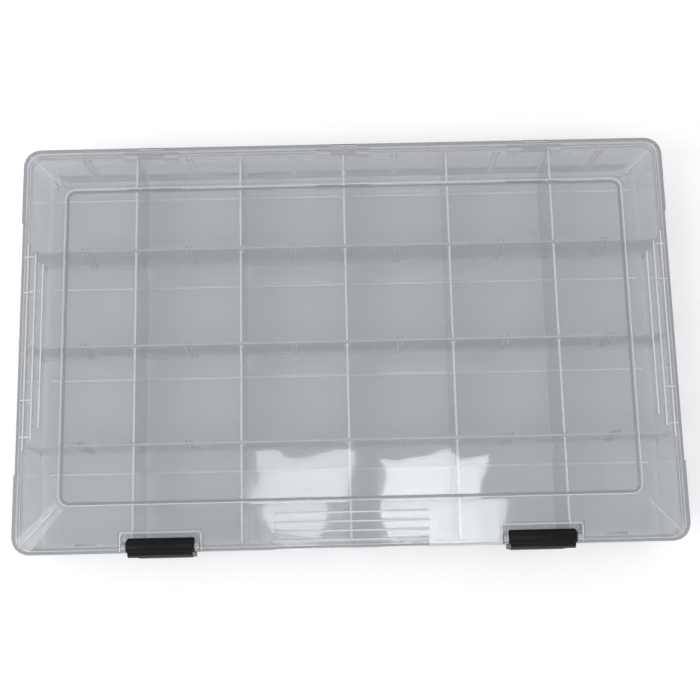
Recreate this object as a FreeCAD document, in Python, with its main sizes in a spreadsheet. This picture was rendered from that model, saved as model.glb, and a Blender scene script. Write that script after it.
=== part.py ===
"""Clear utility tackle box: a compartment tray, lift-out dividers, a hinged lid and two snap latches.

The box stands on the floor plane, centred on the origin: X is its width, Y its depth with the hinges
at the back (+Y) and the latches at the front (-Y), Z is up. Lengths are millimetres.
"""
import FreeCAD, Part
import math
import os

import Sketcher

ROWS = 4
COLUMNS = 6
SLOTS_PER_COLUMN = 2
HINGE_STATIONS = (-1, 0, 1)
SIDES = {"left": -1, "right": 1}
FRONT_RIDGES = 4
SIDE_RIDGES = 3

doc = FreeCAD.newDocument("tackle_box")
sheet = doc.addObject("Spreadsheet::Sheet", "Sizes")


class Size:
    """A length that knows both its spreadsheet expression and its present value."""

    def __init__(self, text, value):
        self.text = text
        self.value = value

    def __add__(self, other):
        return Size(f"({self.text} + {other.text})", self.value + other.value)

    def __sub__(self, other):
        return Size(f"({self.text} - {other.text})", self.value - other.value)

    def __neg__(self):
        return Size(f"(0 - {self.text})", -self.value)

    def __mul__(self, factor):
        return Size(f"({self.text} * {factor})", self.value * factor)

    def __truediv__(self, divisor):
        return Size(f"({self.text} / {divisor})", self.value / divisor)

    def of(self, part, whole):
        """This length times part / whole, as along a slope."""
        text = f"({self.text} * {part.text} / {whole.text})"
        return Size(text, self.value * part.value / whole.value)


ZERO = Size("0", 0.0)


def size(alias, value):
    """Writes a driving dimension into the next row of the sheet and returns it."""
    row = len(sheet.getUsedCells()) // 2 + 1
    sheet.set(f"A{row}", alias)
    sheet.set(f"B{row}", str(value))
    sheet.setAlias(f"B{row}", alias)
    return Size(f"Sizes.{alias}", value)


# Lid: a flat panel let into a bevelled border, with a skirt that sits on the tray's flange
lid_width = size("lid_width", 360)
lid_depth = size("lid_depth", 225)
lid_corner = size("lid_corner", 10)
lid_wall = size("lid_wall", 1.8)
parting_height = size("parting_height", 39)
skirt_height = size("skirt_height", 6.5)
border_width = size("border_width", 24)
border_rise = size("border_rise", 4.5)
panel_land = size("panel_land", 1.0)
panel_drop = size("panel_drop", 1.6)
panel_step = size("panel_step", 0.8)
panel_corner = size("panel_corner", 5.5)
front_zone_length = size("front_zone_length", 82)
side_zone_length = size("side_zone_length", 140)
zone_depth = size("zone_depth", 0.5)
front_ridge_pitch = size("front_ridge_pitch", 4.8)
side_ridge_length = size("side_ridge_length", 116)
side_ridge_step = size("side_ridge_step", 12)
side_ridge_pitch = size("side_ridge_pitch", 4.4)
ridge_inset = size("ridge_inset", 4.5)
ridge_width = size("ridge_width", 1.2)
ridge_height = size("ridge_height", 0.3)

# Tray: a drafted tub with a flange, a lip inside the lid's skirt, and three long row walls
tray_wall = size("tray_wall", 1.8)
tray_draft = size("tray_draft", 0.4)
lid_gap = size("lid_gap", 0.5)
flange_thickness = size("flange_thickness", 2)
lip_height = size("lip_height", 2)
floor_thickness = size("floor_thickness", 2)
bottom_round = size("bottom_round", 3)
row_wall = size("row_wall", 1.4)
row_wall_drop = size("row_wall_drop", 0.5)
scoop_radius = size("scoop_radius", 12)
heel_height = size("heel_height", 2)

# Dividers and the pairs of ribs that they slide between
divider_thickness = size("divider_thickness", 1.3)
divider_clearance = size("divider_clearance", 0.15)
slot_rib_width = size("slot_rib_width", 0.9)
slot_rib_reach = size("slot_rib_reach", 1.2)
slot_rib_drop = size("slot_rib_drop", 1.0)

# Latches: a barrel on a steel pin between two lid ears, with a hooked tab under the tray's catch
latch_spacing = size("latch_spacing", 202)
latch_width = size("latch_width", 36)
latch_inset = size("latch_inset", 3.5)
latch_gap = size("latch_gap", 0.3)
latch_corner = size("latch_corner", 3)
barrel_radius = size("barrel_radius", 4.2)
barrel_chamfer = size("barrel_chamfer", 0.8)
tab_thickness = size("tab_thickness", 2.2)
tab_drop = size("tab_drop", 19)
tab_lip = size("tab_lip", 0.6)
hook_drop = size("hook_drop", 14.8)
hook_reach = size("hook_reach", 1.6)
hook_height = size("hook_height", 2.0)
hook_play = size("hook_play", 0.5)
catch_width = size("catch_width", 30)
catch_height = size("catch_height", 3.2)
catch_nose = size("catch_nose", 1.0)
recess_depth = size("recess_depth", 10)
recess_floor = size("recess_floor", 1.6)
recess_lift = size("recess_lift", 0.2)
ear_thickness = size("ear_thickness", 2.4)
ear_radius = size("ear_radius", 3.2)
latch_pin_radius = size("latch_pin_radius", 1.2)

# Hinges: lid knuckles between pairs of tray knuckles behind the back wall, each on a steel pin
hinge_spacing = size("hinge_spacing", 110)
hinge_drop = size("hinge_drop", 5)
hinge_set_back = size("hinge_set_back", 0.3)
knuckle_radius = size("knuckle_radius", 2.3)
lid_knuckle = size("lid_knuckle", 14)
tray_knuckle = size("tray_knuckle", 8)
knuckle_gap = size("knuckle_gap", 0.3)
hinge_pin_radius = size("hinge_pin_radius", 0.9)
pin_clearance = size("pin_clearance", 0.05)

# Every cut runs this far past the solid that it cuts
overrun = size("overrun", 2)

doc.recompute()

half_width = lid_width / 2
half_depth = lid_depth / 2
skirt_top = parting_height + skirt_height
lid_top = skirt_top + border_rise
panel_width = lid_width - (border_width + panel_land) * 2
panel_depth = lid_depth - (border_width + panel_land) * 2
panel_face = lid_top - panel_drop

tub_width = lid_width - (lid_wall + lid_gap) * 2
tub_depth = lid_depth - (lid_wall + lid_gap) * 2
tub_corner = lid_corner - lid_wall - lid_gap
inside_width = tub_width - tray_wall * 2
inside_depth = tub_depth - tray_wall * 2
inside_corner = tub_corner - tray_wall
row_top = parting_height - row_wall_drop

row_pitch = (inside_depth + row_wall) / ROWS
row_clear = row_pitch - row_wall
column_pitch = inside_width / COLUMNS
slot_pitch = column_pitch / SLOTS_PER_COLUMN

recess_width = latch_width + (latch_gap * 2 + ear_thickness) * 2
recess_floor_top = parting_height + recess_lift + recess_floor
latch_axis_y = latch_inset - half_depth
latch_axis_z = recess_floor_top + latch_gap + barrel_radius
hinge_axis_y = half_depth + hinge_set_back
hinge_axis_z = parting_height - hinge_drop


def row_centre(row):
    """Y of the middle of a row of compartments, counted from the back."""
    return inside_depth / 2 - row_clear / 2 - row_pitch * row


def slope_height(inset):
    """Z of the lid's bevelled border at a distance in from its outer edge."""
    return skirt_top + border_rise.of(inset, border_width)


def new_body(label):
    """An empty body whose label names its STEP file."""
    body = doc.addObject("PartDesign::Body", label)
    body.Label = label
    return body


def new_sketch(body, name, role, offset=ZERO):
    """A sketch on one of the body's origin planes, moved along that plane's normal."""
    plane = next(feature for feature in body.Origin.OriginFeatures if feature.Role == role)
    sketch = body.newObject("Sketcher::SketchObject", f"{body.Name}_{name}")
    sketch.AttachmentSupport = (plane, [""])
    sketch.MapMode = "FlatFace"
    sketch.setExpression("AttachmentOffset.Base.z", offset.text)
    return sketch


def pin_point(sketch, geometry, position, x, y):
    """Ties one point of a sketch to a pair of sizes."""
    for kind, length in (("DistanceX", x), ("DistanceY", y)):
        constraint = Sketcher.Constraint(kind, geometry, position, length.value)
        index = sketch.addConstraint(constraint)
        sketch.setExpression(f"Constraints[{index}]", length.text)


def arc_geometry(start, end, radius, turn):
    """The arc from start to end that turns left (1) or right (-1) with the given radius."""
    chord = end - start
    rise = math.sqrt(max(radius**2 - (chord.Length / 2) ** 2, 0.0))
    normal = FreeCAD.Vector(-chord.y, chord.x, 0).normalize() * rise * turn
    centre = start + chord * 0.5 + normal
    first, last = (start, end) if turn > 0 else (end, start)
    angles = [math.atan2(point.y - centre.y, point.x - centre.x) for point in (first, last)]
    circle = Part.Circle(centre, FreeCAD.Vector(0, 0, 1), radius)
    return Part.ArcOfCircle(circle, *angles)


def outline(sketch, path):
    """A closed outline. Each entry is (x, y) for a straight run on to the next point, or
    (x, y, radius, turn) for an arc on to it that turns left (1) or right (-1)."""
    base = sketch.GeometryCount
    count = len(path)
    points = [FreeCAD.Vector(entry[0].value, entry[1].value, 0) for entry in path]
    ends = []
    for index, entry in enumerate(path):
        start, end = points[index], points[(index + 1) % count]
        if len(entry) == 2:
            sketch.addGeometry(Part.LineSegment(start, end), False)
            ends.append((1, 2))
            continue
        radius, turn = entry[2:]
        sketch.addGeometry(arc_geometry(start, end, radius.value, turn), False)
        ends.append((1, 2) if turn > 0 else (2, 1))
        constraint = sketch.addConstraint(Sketcher.Constraint("Radius", base + index, radius.value))
        sketch.setExpression(f"Constraints[{constraint}]", radius.text)
    for index, entry in enumerate(path):
        following = (index + 1) % count
        link = (base + index, ends[index][1], base + following, ends[following][0])
        sketch.addConstraint(Sketcher.Constraint("Coincident", *link))
        pin_point(sketch, base + index, ends[index][0], entry[0], entry[1])


def rounded_rectangle(sketch, width, depth, corner):
    """A rectangle about the sketch's origin with round corners."""
    x, y = width / 2, depth / 2
    outline(
        sketch,
        [
            (corner - x, -y),
            (x - corner, -y, corner, 1),
            (x, corner - y),
            (x, y - corner, corner, 1),
            (x - corner, y),
            (corner - x, y, corner, 1),
            (-x, y - corner),
            (-x, corner - y, corner, 1),
        ],
    )


def rectangle(sketch, low_x, low_y, high_x, high_y):
    """A plain rectangle between two corners."""
    outline(sketch, [(low_x, low_y), (high_x, low_y), (high_x, high_y), (low_x, high_y)])


def circle(sketch, x, y, radius):
    """A full circle."""
    centre = FreeCAD.Vector(x.value, y.value, 0)
    index = sketch.addGeometry(Part.Circle(centre, FreeCAD.Vector(0, 0, 1), radius.value), False)
    constraint = sketch.addConstraint(Sketcher.Constraint("Radius", index, radius.value))
    sketch.setExpression(f"Constraints[{constraint}]", radius.text)
    pin_point(sketch, index, 3, x, y)


def extrude(body, kind, sketch, length, symmetric=False, flip=False):
    """A pad or pocket of a sketch, along its normal or to both sides of its plane."""
    feature = body.newObject(f"PartDesign::{kind}", f"{sketch.Name}_{kind.lower()}")
    feature.Profile = sketch
    feature.SideType = "Symmetric" if symmetric else "One side"
    feature.Reversed = flip
    feature.Length = length.value
    feature.setExpression("Length", length.text)
    sketch.Visibility = False
    return feature


def loft(body, kind, lower, upper):
    """A straight-sided loft between two sketches."""
    feature = body.newObject(f"PartDesign::{kind}", f"{lower.Name}_loft")
    feature.Profile = lower
    feature.Sections = [upper]
    feature.Ruled = True
    return feature


def rounded_layer(body, name, height, width, depth, corner):
    """A sketch of a rounded rectangle at a height."""
    sketch = new_sketch(body, name, "XY_Plane", height)
    rounded_rectangle(sketch, width, depth, corner)
    return sketch


def ease_edges(body, kind, base, edges, setting, length):
    """Fillets or chamfers the edges of a feature by a size."""
    feature = body.newObject(f"PartDesign::{kind}", f"{base.Name}_{kind.lower()}")
    feature.Base = (base, edges)
    setattr(feature, setting, length.value)
    feature.setExpression(setting, length.text)
    return feature


def edge_names(shape, wanted):
    """Names of the edges that a test accepts."""
    return [f"Edge{number}" for number, edge in enumerate(shape.Edges, 1) if wanted(edge)]


def lid_bevels(body):
    """Cuts the four sloping borders, which meet in mitred corners."""
    cuts = (("XZ_Plane", half_width, lid_depth), ("YZ_Plane", half_depth, lid_width))
    for role, half_span, run in cuts:
        sketch = new_sketch(body, f"bevel_{role[:2]}", role)
        for side in SIDES.values():
            inner = (half_span - border_width) * side
            edge = half_span * side
            outer = (half_span + overrun) * side
            above = lid_top + overrun
            outline(
                sketch,
                [(inner, lid_top), (edge, skirt_top), (outer, skirt_top), (outer, above), (inner, above)],
            )
        extrude(body, "Pocket", sketch, run + overrun * 2, symmetric=True)


def lid_hollow(body):
    """Hollows the lid to an even wall under the skirt, the bevels and the sunk panel."""
    width, depth = lid_width - lid_wall * 2, lid_depth - lid_wall * 2
    corner = lid_corner - lid_wall
    ceiling_edge = slope_height(lid_wall) - lid_wall
    skirt = rounded_layer(body, "skirt_hollow", parting_height, width, depth, corner)
    extrude(body, "Pocket", skirt, ceiling_edge - parting_height, flip=True)
    low = rounded_layer(body, "ceiling_low", ceiling_edge, width, depth, corner)
    span = border_width * 2
    high = rounded_layer(
        body, "ceiling_high", lid_top - lid_wall, lid_width - span, lid_depth - span, panel_corner
    )
    loft(body, "SubtractiveLoft", low, high)
    grow = lid_wall * 2
    panel = rounded_layer(
        body, "panel", panel_face - lid_wall, panel_width + grow, panel_depth + grow, panel_corner + lid_wall
    )
    extrude(body, "Pad", panel, panel_drop + lid_wall / 2)
    rim = rounded_layer(body, "panel_rim", lid_top, panel_width, panel_depth, panel_corner)
    shrink = panel_step * 2
    sunk = rounded_layer(
        body, "panel_sunk", panel_face, panel_width - shrink, panel_depth - shrink, panel_corner - panel_step
    )
    loft(body, "SubtractiveLoft", rim, sunk)


def latch_recess(body, name, centre):
    """One latch's recess in the front border, with its floor, walls and pair of ears."""
    front = -half_depth
    wall_back = recess_depth + lid_wall
    half_wall = lid_wall / 2
    housing = new_sketch(body, f"{name}_housing", "YZ_Plane", centre)
    outline(
        housing,
        [
            (front, parting_height + recess_lift),
            (front + wall_back, parting_height + recess_lift),
            (front + wall_back, slope_height(wall_back) - half_wall),
            (front, skirt_top - half_wall),
        ],
    )
    extrude(body, "Pad", housing, recess_width + lid_wall * 2, symmetric=True)
    recess = new_sketch(body, f"{name}_recess", "YZ_Plane", centre)
    rectangle(recess, front - overrun, recess_floor_top, front + recess_depth, lid_top + overrun)
    extrude(body, "Pocket", recess, recess_width, symmetric=True)
    reach = latch_width / 2 + latch_gap + ear_thickness / 2
    foot = recess_floor_top - recess_floor / 2
    for end, side in SIDES.items():
        ear = new_sketch(body, f"{name}_ear_{end}", "YZ_Plane", centre + reach * side)
        outline(
            ear,
            [
                (latch_axis_y - ear_radius, foot),
                (latch_axis_y + ear_radius, foot),
                (latch_axis_y + ear_radius, latch_axis_z, ear_radius, 1),
                (latch_axis_y, latch_axis_z + ear_radius, ear_radius, 1),
                (latch_axis_y - ear_radius, latch_axis_z),
            ],
        )
        circle(ear, latch_axis_y, latch_axis_z, latch_pin_radius + pin_clearance)
        extrude(body, "Pad", ear, ear_thickness, symmetric=True)


def lid_zones(body):
    """Finger zones at the front and sides, where the bevel and skirt fall away by a wedge."""
    front = new_sketch(body, "front_zone", "YZ_Plane")
    zone_outline(front, half_depth, SIDES["left"])
    extrude(body, "Pocket", front, front_zone_length, symmetric=True)
    sides = new_sketch(body, "side_zones", "XZ_Plane")
    for side in SIDES.values():
        zone_outline(sides, half_width, side)
    extrude(body, "Pocket", sides, side_zone_length, symmetric=True)


def zone_outline(sketch, half_span, side):
    """The cross-section of what a finger zone takes off one border."""
    crest = (half_span - border_width) * side
    inner = (half_span - zone_depth) * side
    outer = (half_span + overrun) * side
    outline(
        sketch,
        [
            (crest, lid_top),
            (inner, skirt_top - zone_depth),
            (inner, parting_height),
            (outer, parting_height),
            (outer, lid_top),
        ],
    )


def lid_ridges(body):
    """Finger ridges that stand in the zones: four at the front, three on each side."""
    front = new_sketch(body, "front_ridges", "YZ_Plane")
    for number in range(FRONT_RIDGES):
        ridge_outline(front, ridge_inset + front_ridge_pitch * number, half_depth, -1)
    extrude(body, "Pad", front, front_zone_length, symmetric=True)
    for number in range(SIDE_RIDGES):
        ridge = new_sketch(body, f"side_ridge_{number}", "XZ_Plane")
        for side in SIDES.values():
            ridge_outline(ridge, ridge_inset + side_ridge_pitch * number, half_width, side)
        extrude(body, "Pad", ridge, side_ridge_length - side_ridge_step * number, symmetric=True)


def ridge_outline(sketch, inset, half_span, side):
    """The cross-section of one ridge at a distance in from the lid's edge."""
    middle = (half_span - inset) * side
    height = slope_height(inset)
    foot, crown = ridge_width / 2, ridge_width / 4
    outline(
        sketch,
        [
            (middle - foot, height - zone_depth - ridge_height),
            (middle + foot, height - zone_depth - ridge_height),
            (middle + crown, height + ridge_height),
            (middle - crown, height + ridge_height),
        ],
    )


def hinge_bore(body):
    """Bores every knuckle of a body along the hinge line."""
    bore = new_sketch(body, "hinge_bore", "YZ_Plane")
    circle(bore, hinge_axis_y, hinge_axis_z, hinge_pin_radius + pin_clearance)
    extrude(body, "Pocket", bore, lid_width, symmetric=True)


def make_lid():
    """The lid with its panel, bevels, latch recesses, ridges and hinge arms."""
    body = new_body("lid")
    block = rounded_layer(body, "block", parting_height, lid_width, lid_depth, lid_corner)
    extrude(body, "Pad", block, skirt_height + border_rise)
    lid_bevels(body)
    lid_hollow(body)
    for name, side in SIDES.items():
        latch_recess(body, name, latch_spacing / 2 * side)
    lid_zones(body)
    lid_ridges(body)
    for station in HINGE_STATIONS:
        arm = new_sketch(body, f"arm_{station + 1}", "YZ_Plane", hinge_spacing * station)
        rectangle(arm, half_depth - lid_wall, hinge_axis_z, half_depth, parting_height + lid_wall)
        extrude(body, "Pad", arm, lid_knuckle, symmetric=True)
        knuckle = new_sketch(body, f"knuckle_{station + 1}", "YZ_Plane", hinge_spacing * station)
        circle(knuckle, hinge_axis_y, hinge_axis_z, knuckle_radius)
        extrude(body, "Pad", knuckle, lid_knuckle, symmetric=True)
    hinge_bore(body)
    doc.recompute()
    return body


def tray_tub(body):
    """The drafted tub with its rounded foot, flange and lip, hollowed to an even wall."""
    rim = rounded_layer(body, "tub", parting_height, tub_width, tub_depth, tub_corner)
    tub = extrude(body, "Pad", rim, parting_height, flip=True)
    tub.setExpression("TaperAngle", f"-atan({tray_draft.text} / {parting_height.text})")
    doc.recompute()
    foot_edges = edge_names(tub.Shape, lambda edge: edge.BoundBox.ZMax < floor_thickness.value / 2)
    ease_edges(body, "Fillet", tub, foot_edges, "Radius", bottom_round)
    under = parting_height - flange_thickness
    flange = rounded_layer(body, "flange", under, lid_width, lid_depth, lid_corner)
    extrude(body, "Pad", flange, flange_thickness)
    lip = rounded_layer(body, "lip", parting_height, tub_width, tub_depth, tub_corner)
    extrude(body, "Pad", lip, lip_height)
    mouth = rounded_layer(
        body, "mouth", parting_height + lip_height, inside_width, inside_depth, inside_corner
    )
    depth = parting_height + lip_height - floor_thickness
    inside = extrude(body, "Pocket", mouth, depth)
    inside.setExpression("TaperAngle", f"-atan({tray_draft.text} / {depth.text})")


def tray_rows(body):
    """Three long row walls with a scoop in front and a heel behind, and the back wall's scoop."""
    under = floor_thickness / 2
    half_top = row_wall / 2
    half_low = half_top + tray_draft
    for row in range(1, ROWS):
        middle = row_centre(row) + row_pitch / 2
        wall = new_sketch(body, f"row_wall_{row}", "YZ_Plane")
        front, back = middle - half_low, middle + half_low
        outline(
            wall,
            [
                (front - scoop_radius, under),
                (back + heel_height, under),
                (back + heel_height, floor_thickness),
                (back, floor_thickness + heel_height),
                (middle + half_top, row_top),
                (middle - half_top, row_top),
                (front, floor_thickness + scoop_radius, scoop_radius, -1),
                (front - scoop_radius, floor_thickness),
            ],
        )
        extrude(body, "Pad", wall, inside_width + tray_wall / 2, symmetric=True)
    back = inside_depth / 2 - tray_draft
    scoop = new_sketch(body, "back_scoop", "YZ_Plane")
    outline(
        scoop,
        [
            (back - scoop_radius, under),
            (back + tray_wall / 2, under),
            (back + tray_wall / 2, floor_thickness + scoop_radius),
            (back, floor_thickness + scoop_radius, scoop_radius, -1),
            (back - scoop_radius, floor_thickness),
        ],
    )
    extrude(body, "Pad", scoop, inside_width - inside_corner * 2, symmetric=True)


def tray_slots(body):
    """Pairs of upright ribs along both faces of every row, repeated at the slot pitch."""
    under = floor_thickness / 2
    slots = COLUMNS * SLOTS_PER_COLUMN - 1
    first = slot_pitch * ((1 - slots) / 2)
    near = divider_thickness / 2 + divider_clearance
    far = near + slot_rib_width
    half_low = row_clear / 2 - tray_draft
    half_deep = row_clear / 2 + row_wall / 3
    ribs = new_sketch(body, "slot_ribs", "XY_Plane", under)
    for row in range(ROWS):
        for face in SIDES.values():
            inner = row_centre(row) + (half_low - slot_rib_reach) * face
            buried = row_centre(row) + half_deep * face
            for side in SIDES.values():
                rectangle(ribs, first + near * side, inner, first + far * side, buried)
    pad = extrude(body, "Pad", ribs, row_top - slot_rib_drop - under)
    pattern = body.newObject("PartDesign::LinearPattern", "slot_pattern")
    pattern.Originals = [pad]
    axis = next(feature for feature in body.Origin.OriginFeatures if feature.Role == "X_Axis")
    pattern.Direction = (axis, [""])
    pattern.Occurrences = slots
    run = slot_pitch * (slots - 1)
    pattern.Length = run.value
    pattern.setExpression("Length", run.text)
    body.Tip = pattern


def tray_hinges(body):
    """Pairs of knuckles behind the back wall, and the flange's notches for the lid's arms."""
    root = tub_depth / 2 - tray_wall / 2
    reach = lid_knuckle / 2 + knuckle_gap + tray_knuckle / 2
    for station in HINGE_STATIONS:
        for end, side in SIDES.items():
            place = hinge_spacing * station + reach * side
            knuckle = new_sketch(body, f"knuckle_{station + 1}_{end}", "YZ_Plane", place)
            outline(
                knuckle,
                [
                    (root, hinge_axis_z - knuckle_radius),
                    (hinge_axis_y, hinge_axis_z - knuckle_radius, knuckle_radius, 1),
                    (hinge_axis_y + knuckle_radius, hinge_axis_z, knuckle_radius, 1),
                    (hinge_axis_y, hinge_axis_z + knuckle_radius),
                    (root, hinge_axis_z + knuckle_radius),
                ],
            )
            extrude(body, "Pad", knuckle, tray_knuckle, symmetric=True)
    hinge_bore(body)
    notches = new_sketch(body, "arm_notches", "XY_Plane", parting_height)
    for station in HINGE_STATIONS:
        middle = hinge_spacing * station
        half = lid_knuckle / 2 + knuckle_gap
        rectangle(notches, middle - half, tub_depth / 2, middle + half, half_depth + overrun)
    extrude(body, "Pocket", notches, flange_thickness)


def tray_catches(body):
    """A ramped catch under each latch, and the lip's gap for the lid's latch recess."""
    hook_top = latch_axis_z - hook_drop
    low = hook_top + hook_play
    root = tray_wall / 2 - tub_depth / 2
    nose = latch_gap - half_depth
    half_gap = recess_width / 2 + lid_wall + lid_gap
    gaps = new_sketch(body, "lip_gaps", "XY_Plane", parting_height + lip_height)
    for name, side in SIDES.items():
        centre = latch_spacing / 2 * side
        ledge = new_sketch(body, f"catch_{name}", "YZ_Plane", centre)
        outline(
            ledge,
            [(nose, low), (root, low), (root, low + catch_height), (nose, low + catch_nose)],
        )
        extrude(body, "Pad", ledge, catch_width, symmetric=True)
        back = tray_wall + overrun - tub_depth / 2
        rectangle(gaps, centre - half_gap, -half_depth, centre + half_gap, back)
    extrude(body, "Pocket", gaps, lip_height)


def make_tray():
    """The compartment tray."""
    body = new_body("tray")
    tray_tub(body)
    tray_rows(body)
    tray_slots(body)
    tray_hinges(body)
    tray_catches(body)
    doc.recompute()
    return body


def make_divider(row, column):
    """One lift-out divider, shaped to the row's scoop and heel."""
    body = new_body(f"divider_row{row + 1}_col{column + 1}")
    place = column_pitch * (column + 1 - COLUMNS / 2)
    sketch = new_sketch(body, "plate", "YZ_Plane", place)
    middle = row_centre(row)
    top_half = row_clear / 2
    low_half = top_half - tray_draft
    seat = floor_thickness + divider_clearance
    front_low, back_low = middle - low_half, middle + low_half
    scoop = scoop_radius - divider_clearance
    outline(
        sketch,
        [
            (front_low + heel_height, seat),
            (back_low - scoop_radius, seat, scoop, 1),
            (back_low - divider_clearance, floor_thickness + scoop_radius),
            (middle + top_half - divider_clearance, row_top),
            (middle - top_half + divider_clearance, row_top),
            (front_low + divider_clearance, floor_thickness + heel_height),
        ],
    )
    extrude(body, "Pad", sketch, divider_thickness, symmetric=True)
    return body


def make_latch(name, side):
    """One black latch: a barrel with chamfered ends, a bore, and a tab with a hook and finger lip."""
    body = new_body(f"latch_{name}")
    centre = latch_spacing / 2 * side
    barrel = new_sketch(body, "barrel", "YZ_Plane", centre)
    circle(barrel, latch_axis_y, latch_axis_z, barrel_radius)
    roll = extrude(body, "Pad", barrel, latch_width, symmetric=True)
    doc.recompute()
    ends = edge_names(roll.Shape, lambda edge: edge.BoundBox.XLength < barrel_chamfer.value)
    ease_edges(body, "Chamfer", roll, ends, "Size", barrel_chamfer)
    inner = -half_depth - latch_gap
    outer = inner - tab_thickness
    waist = barrel_radius / 2
    hook_top = latch_axis_z - hook_drop
    bottom = latch_axis_z - tab_drop
    tab = new_sketch(body, "tab", "YZ_Plane", centre)
    outline(
        tab,
        [
            (latch_axis_y, latch_axis_z + waist),
            (outer + tab_thickness / 2, latch_axis_z + waist),
            (outer, latch_axis_z),
            (outer, bottom + hook_height),
            (outer - tab_lip, bottom),
            (inner - tab_lip, bottom),
            (inner, bottom + tab_lip),
            (inner, hook_top - hook_height),
            (inner + hook_reach, hook_top - hook_height / 2),
            (inner + hook_reach, hook_top),
            (inner, hook_top),
            (inner, latch_axis_z - waist),
            (latch_axis_y, latch_axis_z - waist),
        ],
    )
    extrude(body, "Pad", tab, latch_width - barrel_chamfer * 2, symmetric=True)
    corners = new_sketch(body, "corners", "XZ_Plane")
    for end in SIDES.values():
        edge = centre + (latch_width / 2 - barrel_chamfer) * end
        outline(
            corners,
            [
                (edge - latch_corner * end, bottom),
                (edge, bottom + latch_corner),
                (edge + overrun * end, bottom + latch_corner),
                (edge + overrun * end, bottom - overrun),
                (edge - latch_corner * end, bottom - overrun),
            ],
        )
    extrude(body, "Pocket", corners, lid_depth + latch_width, symmetric=True)
    bore = new_sketch(body, "bore", "YZ_Plane", centre)
    circle(bore, latch_axis_y, latch_axis_z, latch_pin_radius + pin_clearance)
    extrude(body, "Pocket", bore, latch_width + overrun * 2, symmetric=True)
    doc.recompute()
    return body


def make_pin(label, middle, y, z, radius, length):
    """A plain steel pin along X."""
    pin = doc.addObject("Part::Cylinder", label)
    pin.Label = label
    pin.setExpression("Radius", radius.text)
    pin.setExpression("Height", length.text)
    pin.Placement = FreeCAD.Placement(FreeCAD.Vector(), FreeCAD.Rotation(FreeCAD.Vector(0, 1, 0), 90))
    start = middle - length / 2
    for axis, place in (("x", start), ("y", y), ("z", z)):
        pin.setExpression(f"Placement.Base.{axis}", place.text)
    return pin


def make_all():
    """Every piece of the box."""
    pieces = [make_tray(), make_lid()]
    for row in range(ROWS):
        for column in range(COLUMNS - 1):
            pieces.append(make_divider(row, column))
    for name, side in SIDES.items():
        pieces.append(make_latch(name, side))
        length = recess_width - latch_gap * 2
        centre = latch_spacing / 2 * side
        label = f"latch_pin_{name}"
        pieces.append(make_pin(label, centre, latch_axis_y, latch_axis_z, latch_pin_radius, length))
    for station, name in zip(HINGE_STATIONS, ("left", "centre", "right")):
        length = lid_knuckle + (knuckle_gap + tray_knuckle) * 2
        middle = hinge_spacing * station
        label = f"hinge_pin_{name}"
        pieces.append(make_pin(label, middle, hinge_axis_y, hinge_axis_z, hinge_pin_radius, length))
    return pieces


def check(pieces):
    """Stops if any object failed to build or any piece is not one valid solid."""
    for item in doc.Objects:
        if {"Invalid", "Error"} & set(item.State):
            raise RuntimeError(f"{item.Label} did not build: {item.State}")
    for piece in pieces:
        shape = piece.Shape
        if shape.isNull() or not shape.isValid() or len(shape.Solids) != 1:
            raise RuntimeError(f"{piece.Label} is not one valid solid")


def main():
    """Builds the document and writes one STEP file for each piece."""
    pieces = make_all()
    doc.recompute()
    check(pieces)
    os.makedirs("parts", exist_ok=True)
    for piece in pieces:
        piece.Shape.exportStep(f"parts/{piece.Label}.step")
        print(f"{piece.Label}: {piece.Shape.Volume:.1f} mm3")


main()
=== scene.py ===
"""Clear tackle box with black latches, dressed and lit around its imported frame.

Sizes are in millimetres and become metres when a mesh is made. X is the width, Y runs from the latches at
the front (-Y) to the hinges at the back, Z is up, and the box stands on the floor plane.
"""
import logging
from dataclasses import dataclass
from enum import Enum

import bmesh
import bpy
import numpy as np
from mathutils import Matrix, Vector


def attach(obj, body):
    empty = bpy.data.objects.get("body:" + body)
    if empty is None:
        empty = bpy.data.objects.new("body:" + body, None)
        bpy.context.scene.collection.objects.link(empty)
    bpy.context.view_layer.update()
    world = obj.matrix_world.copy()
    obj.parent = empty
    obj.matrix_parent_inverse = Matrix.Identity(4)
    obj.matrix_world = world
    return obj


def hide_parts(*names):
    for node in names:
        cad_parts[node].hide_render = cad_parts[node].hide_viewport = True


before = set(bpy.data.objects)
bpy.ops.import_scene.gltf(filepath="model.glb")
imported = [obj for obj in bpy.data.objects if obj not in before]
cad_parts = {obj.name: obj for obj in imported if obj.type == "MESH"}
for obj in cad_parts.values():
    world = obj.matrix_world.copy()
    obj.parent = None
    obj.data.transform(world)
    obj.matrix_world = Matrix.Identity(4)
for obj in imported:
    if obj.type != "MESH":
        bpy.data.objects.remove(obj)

LOG = logging.getLogger("tackle_box")
MM = 0.001
IMAGE_SIDE_PX = 700
Colour = tuple[float, float, float]
Triple = tuple[float, float, float]
Grid = np.ndarray
UP = np.array([0.0, 0.0, 1.0])
SIDES = (-1.0, 1.0)
SHARP_TURN_RAD = 0.9


class Body(str, Enum):
    """The rigid bodies that pieces ride on."""

    BASE = "base"
    LID = "lid"


class Slot(str, Enum):
    """The record's material slots."""

    TRAY = "clear_tray"
    LID = "clear_lid"
    DIVIDER = "clear_divider"


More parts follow.
